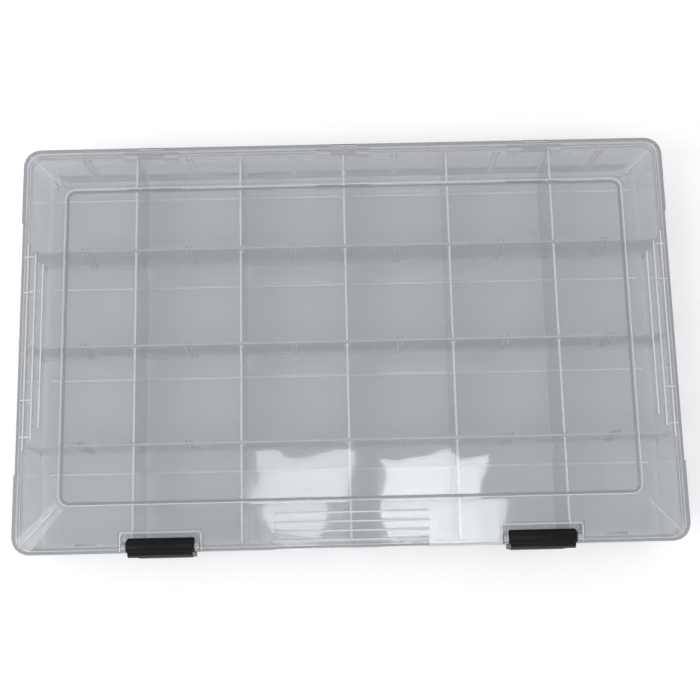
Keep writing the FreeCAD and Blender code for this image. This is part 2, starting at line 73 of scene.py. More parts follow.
class NodeGraph:
    """A thin layer over a node tree that adds, sets and links nodes in one call."""

    MIX_COLOURS = (6, 7)
    MIX_RESULT = 2

    def __init__(self, tree: bpy.types.NodeTree) -> None:
        """Wraps a tree.

        Args:
            tree: The material, group or world tree to build in.
        """
        self.tree = tree

    def add(self, kind: str, settings: dict | None = None, **inputs: object) -> bpy.types.Node:
        """Adds a node.

        Args:
            kind: Blender's type name of the node.
            settings: Properties to set on the node.
            **inputs: Input values or sockets, by socket name with spaces as underscores.

        Returns:
            The new node.
        """
        node = self.tree.nodes.new(kind)
        for name, value in (settings or {}).items():
            setattr(node, name, value)
        for name, value in inputs.items():
            self.feed(node.inputs[name.replace("_", " ")], value)
        return node

    def feed(self, socket: bpy.types.NodeSocket, value: object) -> None:
        """Links an output to a socket, or sets the socket's own value.

        Args:
            socket: The input to feed.
            value: An output socket, a number, or a colour or vector.
        """
        if isinstance(value, bpy.types.NodeSocket):
            self.tree.links.new(value, socket)
        else:
            socket.default_value = value

    def math(self, operation: str, first: object, second: object = 0.0) -> bpy.types.NodeSocket:
        """Adds a Math node.

        Args:
            operation: The Math node's operation.
            first: First operand, a socket or a number.
            second: Second operand, a socket or a number.

        Returns:
            The node's output socket.
        """
        node = self.add("ShaderNodeMath", {"operation": operation})
        self.feed(node.inputs[0], first)
        self.feed(node.inputs[1], second)
        return node.outputs[0]

    def blend(self, share: object, first: object, second: object) -> bpy.types.NodeSocket:
        """Mixes two colours.

        Args:
            share: How much of the second colour, a socket or a number.
            first: First colour, a socket or three numbers.
            second: Second colour, a socket or three numbers.

        Returns:
            The mixed colour's socket.
        """
        node = self.add("ShaderNodeMix", {"data_type": "RGBA"})
        self.feed(node.inputs["Factor"], share)
        for place, colour in zip(self.MIX_COLOURS, (first, second)):
            given = colour if isinstance(colour, bpy.types.NodeSocket) else (*colour, 1.0)
            self.feed(node.inputs[place], given)
        return node.outputs[self.MIX_RESULT]

    def shaders(self, share: object, first: object, second: object) -> bpy.types.NodeSocket:
        """Mixes two shaders.

        Args:
            share: How much of the second shader, a socket or a number.
            first: First shader's socket.
            second: Second shader's socket.

        Returns:
            The mixed shader's socket.
        """
        node = self.add("ShaderNodeMixShader", Fac=share)
        self.feed(node.inputs[1], first)
        self.feed(node.inputs[2], second)
        return node.outputs[0]


class WearGroup:
    """Handling marks shared by every moulded finish: rubbed haze, hairline scratches and mould flow."""

    NAME = "handling_marks"
    INPUTS = ("Polish", "Haze", "Scratches", "Flow")
    OUTPUTS = ("Roughness", "Height", "Cloud")
    HAZE_SCALE = 22.0
    HAZE_DETAIL = 5.0
    HAZE_ROUGHNESS = 0.62
    FLOW_SCALE = 18.0
    FLOW_DETAIL = 1.5
    SCRATCH_SCALE = 14.0
    SCRATCH_DETAIL = 3.0
    SCRATCH_STRETCHES = ((60.0, 2.0, 2.0), (3.0, 70.0, 3.0))
    SCRATCH_EDGES = (0.70, 0.74)
    SCRATCH_DEPTH = 0.04

    @classmethod
    def tree(cls) -> bpy.types.NodeTree:
        """Returns the group, built once: noise over Object coordinates, thresholded for the scratches."""
        tree = bpy.data.node_groups.get(cls.NAME)
        if tree:
            return tree
        tree = bpy.data.node_groups.new(cls.NAME, "ShaderNodeTree")
        for names, in_out in ((cls.INPUTS, "INPUT"), (cls.OUTPUTS, "OUTPUT")):
            for name in names:
                tree.interface.new_socket(name, in_out=in_out, socket_type="NodeSocketFloat")
        graph = NodeGraph(tree)
        given = graph.add("NodeGroupInput").outputs
        result = graph.add("NodeGroupOutput").inputs
        place = graph.add("ShaderNodeTexCoord").outputs["Object"]
        haze = graph.add(
            "ShaderNodeTexNoise",
            Vector=place,
            Scale=cls.HAZE_SCALE,
            Detail=cls.HAZE_DETAIL,
            Roughness=cls.HAZE_ROUGHNESS,
        )
        flow = graph.add("ShaderNodeTexNoise", Vector=place, Scale=cls.FLOW_SCALE, Detail=cls.FLOW_DETAIL)
        lines = [cls.scratch(graph, place, stretch) for stretch in cls.SCRATCH_STRETCHES]
        scratches = graph.math("MULTIPLY", graph.math("MAXIMUM", *lines), given["Scratches"])
        rubbed = graph.math("MULTIPLY", haze.outputs["Fac"], given["Haze"])
        dull = graph.math("ADD", given["Polish"], rubbed)
        scored = graph.math("MULTIPLY", scratches, given["Haze"])
        graph.feed(result["Roughness"], graph.math("ADD", dull, scored))
        swell = graph.math("MULTIPLY", flow.outputs["Fac"], given["Flow"])
        cut = graph.math("MULTIPLY", scratches, cls.SCRATCH_DEPTH)
        graph.feed(result["Height"], graph.math("SUBTRACT", swell, cut))
        graph.feed(result["Cloud"], haze.outputs["Fac"])
        return tree

    @classmethod
    def scratch(
        cls, graph: NodeGraph, place: bpy.types.NodeSocket, stretch: Triple
    ) -> bpy.types.NodeSocket:
        """Adds one family of hairlines: noise squeezed along two axes, kept only near its peaks.

        Args:
            graph: The group's graph.
            place: The coordinates to read.
            stretch: How far each axis is squeezed.

        Returns:
            A mask of the scratches.
        """
        mapping = graph.add("ShaderNodeMapping", Vector=place, Scale=stretch)
        noise = graph.add(
            "ShaderNodeTexNoise",
            Vector=mapping.outputs[0],
            Scale=cls.SCRATCH_SCALE,
            Detail=cls.SCRATCH_DETAIL,
        )
        low, high = cls.SCRATCH_EDGES
        ramp = graph.add("ShaderNodeMapRange", Value=noise.outputs["Fac"], From_Min=low, From_Max=high)
        return ramp.outputs[0]


@dataclass(frozen=True)
class Finish:
    """A procedural finish that makes its material once and hands it out."""

    name: str
    polish: float = 0.02
    haze: float = 0.03
    scratches: float = 0.5
    flow: float = 0.6

    def material(self) -> bpy.types.Material:
        """Returns the finish's material, building its nodes the first time."""
        made = bpy.data.materials.get(self.name)
        if made:
            return made
        made = bpy.data.materials.new(self.name)
        made.use_nodes = True
        made.node_tree.nodes.clear()
        graph = NodeGraph(made.node_tree)
        output = graph.add("ShaderNodeOutputMaterial")
        graph.feed(output.inputs["Surface"], self.shader(graph))
        return made

    def marks(self, graph: NodeGraph) -> bpy.types.bpy_prop_collection:
        """Adds the handling marks with this finish's values.

        Args:
            graph: The material's graph.

        Returns:
            The group node's outputs.
        """
        node = graph.add("ShaderNodeGroup", {"node_tree": WearGroup.tree()})
        for socket, value in zip(node.inputs, (self.polish, self.haze, self.scratches, self.flow)):
            socket.default_value = value
        return node.outputs

    def shader(self, graph: NodeGraph) -> bpy.types.NodeSocket:
        """Builds the surface shader.

        Args:
            graph: The material's graph.

        Returns:
            The shader's output socket.
        """
        raise NotImplementedError


@dataclass(frozen=True, kw_only=True)
class ClearPlastic(Finish):
    """Clear moulded plastic: refracting for the eye, a pale filter for lamps and bounced light.

    The relief is in metres. A finish with no foot colour keeps its tint down to the floor.
    """

    tint: Colour
    cloud: Colour
    cloudiness: float = 0.5
    foot: Colour | None = None
    foot_height: float = 12.0
    shade: Colour = (0.84, 0.86, 0.87)
    clearness: float = 0.8
    ior: float = 1.49
    bump: float = 0.05
    relief: float = 0.0004

    def shader(self, graph: NodeGraph) -> bpy.types.NodeSocket:
        """Builds the clear shader, which takes the foot colour low down where the floor is thick.

        Args:
            graph: The material's graph.

        Returns:
            The shader's output socket.
        """
        marks = self.marks(graph)
        place = graph.add("ShaderNodeTexCoord").outputs["Object"]
        height = graph.add("ShaderNodeSeparateXYZ", Vector=place).outputs["Z"]
        rise = graph.add("ShaderNodeMapRange", Value=height, From_Max=self.foot_height * MM)
        upright = graph.blend(rise.outputs[0], self.foot or self.tint, self.tint)
        clouded = graph.math("MULTIPLY", marks["Cloud"], self.cloudiness)
        colour = graph.blend(clouded, upright, self.cloud)
        bump = graph.add(
            "ShaderNodeBump", Strength=self.bump, Distance=self.relief, Height=marks["Height"]
        )
        clear = graph.add(
            "ShaderNodeBsdfPrincipled",
            Base_Color=colour,
            Roughness=marks["Roughness"],
            IOR=self.ior,
            Transmission_Weight=self.clearness,
            Normal=bump.outputs[0],
        )
        through = graph.add("ShaderNodeBsdfTransparent", Color=(*self.shade, 1.0)).outputs[0]
        path = graph.add("ShaderNodeLightPath").outputs
        lamp_side = graph.shaders(path["Is Shadow Ray"], clear.outputs[0], through)
        return graph.shaders(path["Is Diffuse Ray"], lamp_side, through)


@dataclass(frozen=True)
class BlackPlastic(Finish):
    """Black moulded latch plastic with a satin skin, rubbed a little paler where fingers lift it."""

    polish: float = 0.2
    haze: float = 0.2
    scratches: float = 0.8
    flow: float = 0.4
    deep: Colour = (0.002, 0.002, 0.0023)
    rubbed: Colour = (0.006, 0.006, 0.0065)
    gloss: float = 0.15
    ior: float = 1.5
    grain_scale: float = 2600.0
    grain_detail: float = 2.0
    grain: float = 0.25
    bump: float = 0.5
    relief: float = 0.00004

    def shader(self, graph: NodeGraph) -> bpy.types.NodeSocket:
        """Builds the black shader.

        Args:
            graph: The material's graph.

        Returns:
            The shader's output socket.
        """
        marks = self.marks(graph)
        place = graph.add("ShaderNodeTexCoord").outputs["Object"]
        grain = graph.add(
            "ShaderNodeTexNoise", Vector=place, Scale=self.grain_scale, Detail=self.grain_detail
        )
        skin = graph.math("MULTIPLY", grain.outputs["Fac"], self.grain)
        height = graph.math("ADD", marks["Height"], skin)
        bump = graph.add("ShaderNodeBump", Strength=self.bump, Distance=self.relief, Height=height)
        black = graph.add(
            "ShaderNodeBsdfPrincipled",
            Base_Color=graph.blend(marks["Cloud"], self.deep, self.rubbed),
            Roughness=marks["Roughness"],
            IOR=self.ior,
            Specular_IOR_Level=self.gloss,
            Normal=bump.outputs[0],
        )
        return black.outputs[0]


@dataclass(frozen=True)
class DrawnSteel(Finish):
    """Plain drawn wire: bright steel with fine lines along its length."""

    bright: Colour = (0.56, 0.57, 0.58)
    dark: Colour = (0.40, 0.41, 0.42)
    stretch: Triple = (30.0, 4000.0, 4000.0)
    line_detail: float = 4.0
    smoothest: float = 0.2
    roughest: float = 0.42

    def shader(self, graph: NodeGraph) -> bpy.types.NodeSocket:
        """Builds the steel shader.

        Args:
            graph: The material's graph.

        Returns:
            The shader's output socket.
        """
        place = graph.add("ShaderNodeTexCoord").outputs["Object"]
        mapping = graph.add("ShaderNodeMapping", Vector=place, Scale=self.stretch)
        lines = graph.add(
            "ShaderNodeTexNoise", Vector=mapping.outputs[0], Scale=1.0, Detail=self.line_detail
        )
        rough = graph.add(
            "ShaderNodeMapRange",
            Value=lines.outputs["Fac"],
            To_Min=self.smoothest,
            To_Max=self.roughest,
        )
        steel = graph.add(
            "ShaderNodeBsdfPrincipled",
            Base_Color=graph.blend(lines.outputs["Fac"], self.dark, self.bright),
            Roughness=rough.outputs[0],
            Metallic=1.0,
        )
        return steel.outputs[0]


CLEAR_TRAY = ClearPlastic(
    "clear_tray_plastic",
    tint=(0.752, 0.765, 0.805),
    cloud=(0.71, 0.72, 0.745),
    foot=(0.765, 0.87, 0.81),
    shade=(0.68, 0.69, 0.71),
)
CLEAR_LID = ClearPlastic(
    "clear_lid_plastic",
    haze=0.02,
    scratches=0.01,
    tint=(0.79, 0.795, 0.815),
    cloud=(0.75, 0.755, 0.77),
    shade=(0.90, 0.905, 0.91),
    clearness=0.86,
    bump=1.0,
    relief=0.0009,
)
CLEAR_DIVIDER = ClearPlastic(
    "clear_divider_plastic",
    tint=(0.75, 0.765, 0.79),
    cloud=(0.71, 0.725, 0.745),
    shade=(0.40, 0.41, 0.45),
)
# Painted highlight: a pale, partly diffuse finish for the beads on the panel's rim and the finger ridges,
# standing in for their glints.
LID_CROWN_HIGHLIGHT = ClearPlastic(
    "lid_crown_painted_highlight",
    polish=0.05,
    haze=0.06,
    tint=(0.93, 0.94, 0.95),
    cloud=(0.88, 0.89, 0.90),
    clearness=0.62,
)
# Painted highlight: a pale finish for the beads down the mitres and round the latch recesses, standing in
# for the light lines along those edges.
LID_RIM_HIGHLIGHT = ClearPlastic(
    "lid_rim_painted_highlight",
    polish=0.05,
    haze=0.06,
    tint=(0.90, 0.91, 0.93),
    cloud=(0.86, 0.87, 0.89),
    clearness=0.76,
)
# Painted shade: a dark, partly diffuse finish for the bead along the panel's step, standing in for the
# dark line that refraction draws there.
PANEL_STEP_SHADE = ClearPlastic(
    "panel_step_painted_shade",
    polish=0.1,
    haze=0.1,
    tint=(0.44, 0.455, 0.475),
    cloud=(0.40, 0.41, 0.425),
    clearness=0.65,
)
# Painted highlight: paler than the tray, for the crowns along the row walls' tops.
WALL_CROWN_HIGHLIGHT = ClearPlastic(
    "wall_crown_painted_highlight",
    polish=0.06,
    haze=0.06,
    tint=(0.83, 0.84, 0.865),
    cloud=(0.79, 0.80, 0.825),
    clearness=0.86,
)
# Painted highlight: nearly white and mostly diffuse, for the dividers' top rims, standing in for their
# glints.
DIVIDER_CROWN_HIGHLIGHT = ClearPlastic(
    "divider_crown_painted_highlight",
    polish=0.2,
    haze=0.15,
    tint=(0.97, 0.975, 0.98),
    cloud=(0.92, 0.93, 0.94),
    clearness=0.2,
)
# Painted highlight: nearly white and mostly diffuse, for the line where each scoop starts, standing in for
# the glint of overhead light on the scoop.
SCOOP_HIGHLIGHT = ClearPlastic(
    "scoop_painted_highlight",
    polish=0.1,
    haze=0.1,
    tint=(0.98, 0.98, 0.97),
    cloud=(0.93, 0.93, 0.92),
    clearness=0.1,
)
BLACK_LATCH = BlackPlastic("black_latch_plastic")
STEEL_PIN = DrawnSteel("drawn_steel")


@dataclass
class Surface:
    """Points and faces of a closed surface, worked out as arrays before they become a mesh."""

    points: Grid
    faces: list[Grid]

    @classmethod
    def tube(cls, rings: Grid, closed: bool) -> "Surface":
        """Skins a run of rings: quads from each ring on to the next, and a flat face on each open end.

        Args:
            rings: Points by ring, place on the ring and axis.
            closed: Whether the last ring runs on to the first.

        Returns:
            The closed surface.
        """
        count, around = rings.shape[:2]
        ring = np.arange(count if closed else count - 1)[:, None]
        place = np.arange(around)[None, :]
        after = (place + 1) % around
        onward = (ring + 1) % count
        corners = [
            ring * around + place,
            ring * around + after,
            onward * around + after,
            onward * around + place,
        ]
        faces = [np.stack(corners, axis=-1).reshape(-1, 4)]
        if not closed:
            faces += [place[:, ::-1], place + (count - 1) * around]
        return cls(rings.reshape(-1, 3), faces)

    @classmethod
    def joined(cls, parts: list["Surface"]) -> "Surface":
        """Puts several surfaces into one.

        Args:
            parts: The surfaces.

        Returns:
            One surface with all their points and faces.
        """
        shifts = np.cumsum([0] + [len(part.points) for part in parts])
        faces = [block + shift for part, shift in zip(parts, shifts) for block in part.faces]
        return cls(np.concatenate([part.points for part in parts]), faces)

    def piece(self, name: str, finish: Finish, body: Body, slot: Slot) -> bpy.types.Object:
        """Makes the surface an object that rides on a body.

        Args:
            name: The piece's name.
            finish: Its finish.
            body: The body that carries it.
            slot: Not used.

        Returns:
            The object.
        """
        mesh = bpy.data.meshes.new(name)
        faces = [face for block in self.faces for face in block.tolist()]
        mesh.from_pydata((self.points * MM).tolist(), [], faces)
        shape = bmesh.new()
        shape.from_mesh(mesh)
        bmesh.ops.recalc_face_normals(shape, faces=shape.faces[:])
        shape.to_mesh(mesh)
        shape.free()
        mesh.polygons.foreach_set("use_smooth", np.ones(len(mesh.polygons), dtype=bool))
        mesh.set_sharp_from_angle(angle=SHARP_TURN_RAD)
        mesh.materials.append(finish.material())
        piece = bpy.data.objects.new(name, mesh)
        bpy.context.scene.collection.objects.link(piece)
        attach(piece, body.value)
        LOG.info("built %s", name)
        return piece


@dataclass(frozen=True)
class Bead:
    """A bead that carries a painted highlight or painted shade line: half an ellipse on a short straight
    root, carried along a path.
    """

    width: float
    rise: float
    sink: float
    steps: int = 9
    end_steps: int = 5
    end_turn: float = 0.15

    def section(self) -> Grid:
        """Returns the section: (width/2 cos t, rise sin t) for t from 0 to pi, then down to the root."""
        turn = np.linspace(0.0, np.pi, self.steps)
        crown = np.stack([np.cos(turn) * self.width / 2, np.sin(turn) * self.rise], axis=-1)
        root = np.array([[-self.width / 2, -self.sink], [self.width / 2, -self.sink]])
        return np.concatenate([crown, root])

    def along(self, path: Grid, across: Grid, up: Grid, closed: bool = False) -> Surface:
        """Carries the section along a path: point = path + across * section x + up * section z.

        Args:
            path: Points of the path.
            across: Unit vectors to the path's side, one for each point or one for all.
            up: Unit vectors away from the carrier, one for each point or one for all.
            closed: Whether the path is a loop.

        Returns:
            The bead's surface.
        """
        section = self.section()
        side = np.broadcast_to(across, path.shape)
        away = np.broadcast_to(up, path.shape)
        rings = (
            path[:, None, :]
            + section[None, :, :1] * side[:, None, :]
            + section[None, :, 1:] * away[:, None, :]
        )
        return Surface.tube(rings, closed)

    def straight(self, start: Triple, end: Triple, up: Grid = UP) -> Surface:
        """Makes a straight bead whose ends round off: the section shrinks as sin a while d = r(1 - cos a).

        Args:
            start: One end.
            end: The other end.
            up: Direction away from the carrier.

        Returns:
            The bead's surface.
        """
        first, last = np.array(start), np.array(end)
        run = (last - first) / np.linalg.norm(last - first)
        angle = np.linspace(self.end_turn, np.pi / 2, self.end_steps)
        inward = (1 - np.cos(angle)) * self.width / 2
        path = np.concatenate([first + inward[:, None] * run, last - inward[::-1, None] * run])
        shrink = np.concatenate([np.sin(angle), np.sin(angle)[::-1]])
        across = np.cross(run, up)
        return self.along(path, across * shrink[:, None], np.asarray(up) * shrink[:, None])


def rounded_loop(
    half_x: float, half_y: float, corner: float, z: float, steps: int = 8
) -> tuple[Grid, Grid]:
    """Traces a rounded rectangle: each quarter is its corner's centre plus corner * (cos a, sin a).

    Args:
        half_x: Half the width.
        half_y: Half the depth.
        corner: The corners' radius.
        z: Height of the loop.
        steps: Points on each corner.

    Returns:
        The loop's points and their outward unit vectors.
    """
    quarter = np.arange(4)[:, None]
    angle = (quarter + np.linspace(0.0, 1.0, steps)[None, :]) * np.pi / 2
    middle = (quarter + 0.5) * np.pi / 2
    outward = np.stack([np.cos(angle), np.sin(angle), np.zeros_like(angle)], axis=-1).reshape(-1, 3)
    centre_x = np.sign(np.cos(middle)) * (half_x - corner)
    centre_y = np.sign(np.sin(middle)) * (half_y - corner)
    spread = np.ones((1, steps))
    centre = np.stack([centre_x * spread, centre_y * spread, np.full_like(angle, z)], axis=-1)
    return centre.reshape(-1, 3) + outward * corner, outward


@dataclass(frozen=True)
class EdgeEase:
    """Small rounds on a moulded piece's edges: the mesh is welded, then bevelled where it turns."""

    width: float
    segments: int = 3
    turn: float = 0.6
    weld_reach: float = 0.001

    def apply(self, piece: bpy.types.Object) -> None:
        """Adds the modifiers.

        Args:
            piece: The object to ease.
        """
        weld = piece.modifiers.new("weld", "WELD")
        weld.merge_threshold = self.weld_reach * MM
        bevel = piece.modifiers.new("eased_edges", "BEVEL")
        bevel.width = self.width * MM
        bevel.segments = self.segments
        bevel.limit_method = "ANGLE"
        bevel.angle_limit = self.turn
        bevel.harden_normals = True
        bevel.use_clamp_overlap = True


def dress(start: str, finish: Finish, ease: EdgeEase | None = None) -> None:
    """Gives every CAD node whose name begins alike a finish, and eases its edges.

    Args:
        start: How the names begin.
        finish: The finish.
        ease: The rounds to put on the edges, if any.
    """
    for name in sorted(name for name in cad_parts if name.startswith(start)):
        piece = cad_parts[name]
        piece.data.materials.clear()
        piece.data.materials.append(finish.material())
        if ease:
            ease.apply(piece)
        LOG.info("dressed %s", name)


@dataclass(frozen=True)
class Rows:
    """The rows of compartments, which the tray and its dividers share."""

    count: int = 4
    pitch: float = 54.55
    top: float = 38.5
    scoop_place: float = 14.175

    def middles(self) -> Grid:
        """Returns the middle of each row, from the back row to the front one."""
        return self.pitch * ((self.count - 1) / 2 - np.arange(self.count))


@dataclass
class Tray:
    """The compartment tray, with a soft crown along the top of each row wall, paler than the tray as a
    painted highlight, and a white painted highlight line where each scoop starts.
    """

    rows: Rows = Rows()
    half_length: float = 175.7
    scoop_half_length: float = 172.0
    floor_top: float = 2.0
    crown: Bead = Bead(width=1.4, rise=0.45, sink=0.1)
    scoop_highlight_bead: Bead = Bead(width=1.1, rise=0.12, sink=0.1)

    def build(self) -> None:
        """Dresses the tray, crowns its row walls with a paler painted highlight, and lays a white painted
        highlight line where each scoop starts.
        """
        dress("tray", CLEAR_TRAY)
        middles = self.rows.middles()
        walls = middles[1:] + self.rows.pitch / 2
        crowns = [self.across(self.crown, self.half_length, y, self.rows.top) for y in walls]
        # The row-wall crowns carry a paler painted highlight.
        Surface.joined(crowns).piece("row_wall_crowns", WALL_CROWN_HIGHLIGHT, Body.BASE, Slot.TRAY)
        # Nearly white beads where each scoop starts: a painted highlight line.
        lines = [
            self.across(self.scoop_highlight_bead, self.scoop_half_length, y, self.floor_top)
            for y in middles + self.rows.scoop_place
        ]
        Surface.joined(lines).piece("scoop_highlight_lines", SCOOP_HIGHLIGHT, Body.BASE, Slot.TRAY)

    def across(self, bead: Bead, half_length: float, y: float, z: float) -> Surface:
        """Lays a bead across the tray.

        Args:
            bead: The bead.
            half_length: Half its length.
            y: Its place from front to back.
            z: The height of what carries it.

        Returns:
            The bead's surface.
        """
        return bead.straight((-half_length, y, z), (half_length, y, z))


@dataclass
class Dividers:
    """Twenty lift-out plates with rounded rims, five across each of the four rows."""

    rows: Rows = Rows()
    columns: int = 5
    inside_width: float = 351.8
    top_half: float = 26.425
    seat: float = 2.15
    heel_y: float = -24.175
    heel: tuple[float, float] = (-26.025, 4.0)
    scoop_height: float = 14.0
    scoop_radius: float = 11.85
    scoop_steps: int = 13
    thickness: float = 1.3
    rim: float = 0.5
    rim_steps: int = 5
    flat_margin: float = 0.4

    def outline(self) -> Grid:
        """Returns the outline about the row's middle, as (y, z): straight but for the scoop's arc."""
        angle = np.linspace(-np.pi / 2, 0.0, self.scoop_steps)
        turn = np.stack([np.cos(angle), np.sin(angle)], axis=-1)
        arc = self.scoop_radius * turn + (self.rows.scoop_place, self.scoop_height)
        front = [(self.heel_y, self.seat)]
        top = [(self.top_half, self.rows.top), (-self.top_half, self.rows.top), self.heel]
        return np.concatenate([front, arc, top])

    def section(self) -> Grid:
        """Returns (x, inset) across the plate: a flat, a quarter round to the rim, and the same back."""
        turn = np.linspace(0.0, np.pi / 2, self.rim_steps)
        across = self.rim * (1 - np.cos(turn)) - self.thickness / 2
        edge = np.stack([across, self.rim * (1 - np.sin(turn))], axis=-1)
        half = np.concatenate([[(-self.thickness / 2, self.rim + self.flat_margin)], edge])
        return np.concatenate([half, half[::-1] * (-1.0, 1.0)])

    def plate(self, x: float, y: float) -> Surface:
        """Makes one plate: each ring is the outline moved in along its mitres by the section's inset.

        Args:
            x: The plate's place across the tray.
            y: The middle of its row.

        Returns:
            The plate's surface.
        """
        outline = self.outline()
        run = np.roll(outline, -1, axis=0) - outline
        run = run / np.linalg.norm(run, axis=1, keepdims=True)
        after = np.stack([-run[:, 1], run[:, 0]], axis=-1)
        before = np.roll(after, 1, axis=0)
        mitre = (before + after) / (1 + np.sum(before * after, axis=1, keepdims=True))
        section = self.section()
        flat = outline[None] + mitre[None] * section[:, None, 1:]
        thick = np.broadcast_to(section[:, None, :1], (*flat.shape[:2], 1))
        return Surface.tube(np.concatenate([thick, flat], axis=-1) + (x, y, 0.0), closed=False)

    def build(self) -> None:
        """Makes every plate in its CAD node's place, with a nearly white painted highlight along its top
        rim.
        """
        pitch = self.inside_width / (self.columns + 1)
        places = pitch * (np.arange(self.columns) - (self.columns - 1) / 2)
        for row, y in enumerate(self.rows.middles(), start=1):
            for column, x in enumerate(places, start=1):
                label = f"row{row}_col{column}"
                piece = self.plate(x, y).piece(f"plate_{label}", CLEAR_DIVIDER, Body.BASE, Slot.DIVIDER)
                self.crown(piece.data)
                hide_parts(f"divider_{label}")

    def crown(self, mesh: bpy.types.Mesh) -> None:
        """Gives the faces of the plate's top rim the crown finish, a nearly white painted highlight.

        Args:
            mesh: The plate's mesh.
        """
        mesh.materials.append(DIVIDER_CROWN_HIGHLIGHT.material())
        centres = np.empty(len(mesh.polygons) * 3)
        mesh.polygons.foreach_get("center", centres)
        # The top rim faces get the painted highlight finish.
        painted_highlight_faces = centres.reshape(-1, 3)[:, 2] > (self.rows.top - self.rim) * MM
        mesh.polygons.foreach_set("material_index", painted_highlight_faces.astype(np.int32))


